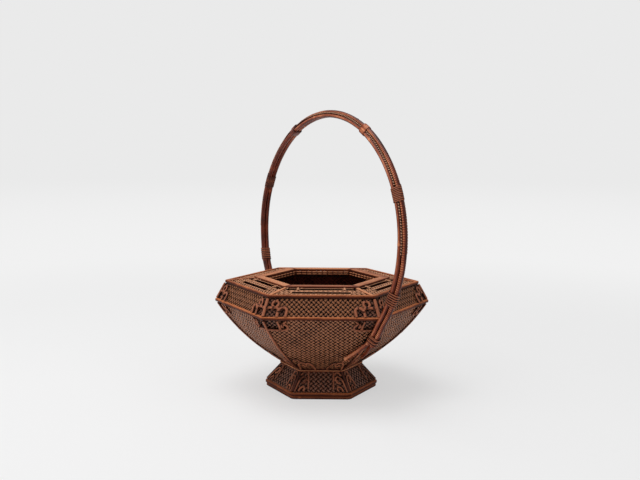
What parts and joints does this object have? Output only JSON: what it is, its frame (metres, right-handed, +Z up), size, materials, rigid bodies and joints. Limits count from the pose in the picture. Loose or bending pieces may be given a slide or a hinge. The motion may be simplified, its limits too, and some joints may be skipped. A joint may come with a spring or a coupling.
{
  "type": "flower basket",
  "caption": "Hexagonal woven bamboo basket on a flared foot, with a leaned-in shoulder band, a slotted deck round a hexagonal mouth and a tall hoop handle lashed at opposite corners.",
  "frame": {"origin": "centre of the foot's underside, where the basket stands", "axes": "+Z up, +X towards one of the two corners where the handle is lashed, so that the handle stands in the XZ plane"},
  "size_m": [0.4368, 0.2868, 0.4269],
  "materials": {
    "ring_bamboo": "lacquered split bamboo, worn satin",
    "woven_bamboo": "stained plaited bamboo strips",
    "corner_cane": "lacquered cane, satin",
    "fine_cane": "lacquered fine cane",
    "floor_board": "dark stained, matt",
    "lining_bamboo": "dark stained plaited bamboo, matt",
    "handle_rod": "lacquered bamboo, satin with worn highlights"
  },
  "bodies": {
    "root": {"foot_hoop_lower": "ring_bamboo", "foot_hoop_upper": "ring_bamboo", "belt_ring": "ring_bamboo", "rim_ring": "ring_bamboo", "mouth_frame": "ring_bamboo", "foot_panel_1": "woven_bamboo", "foot_panel_2": "woven_bamboo", "foot_panel_3": "woven_bamboo", "foot_panel_4": "woven_bamboo", "foot_panel_5": "woven_bamboo", "foot_panel_6": "woven_bamboo", "bowl_panel_1": "woven_bamboo", "bowl_panel_2": "woven_bamboo", "bowl_panel_3": "woven_bamboo", "bowl_panel_4": "woven_bamboo", "bowl_panel_5": "woven_bamboo", "bowl_panel_6": "woven_bamboo", "band_panel_1": "woven_bamboo", "band_panel_2": "woven_bamboo", "band_panel_3": "woven_bamboo", "band_panel_4": "woven_bamboo", "band_panel_5": "woven_bamboo", "band_panel_6": "woven_bamboo", "deck_panel_1": "woven_bamboo", "deck_panel_2": "woven_bamboo", "deck_panel_3": "woven_bamboo", "deck_panel_4": "woven_bamboo", "deck_panel_5": "woven_bamboo", "deck_panel_6": "woven_bamboo", "throat_collar": "woven_bamboo", "corner_stave_1": "corner_cane", "corner_stave_2": "corner_cane", "corner_stave_3": "corner_cane", "corner_stave_4": "corner_cane", "corner_stave_5": "corner_cane", "corner_stave_6": "corner_cane", "band_post_1": "corner_cane", "band_post_2": "corner_cane", "band_post_3": "corner_cane", "band_post_4": "corner_cane", "band_post_5": "corner_cane", "band_post_6": "corner_cane", "waist_ring": "fine_cane", "throat_hoop_upper": "fine_cane", "throat_hoop_lower": "fine_cane", "handle_wrap_mid_1": "fine_cane", "handle_wrap_mid_2": "fine_cane", "handle_wrap_low_1": "fine_cane", "handle_wrap_low_2": "fine_cane", "handle_lashing_1": "fine_cane", "handle_lashing_2": "fine_cane", "bowl_floor": "floor_board", "bowl_lining": "lining_bamboo", "foot_lining": "lining_bamboo", "handle_rod_outer": "handle_rod", "handle_rod_front": "handle_rod", "handle_rod_back": "handle_rod", "handle_splice_1": "handle_rod", "handle_splice_2": "handle_rod"}
  },
  "joints": []
}
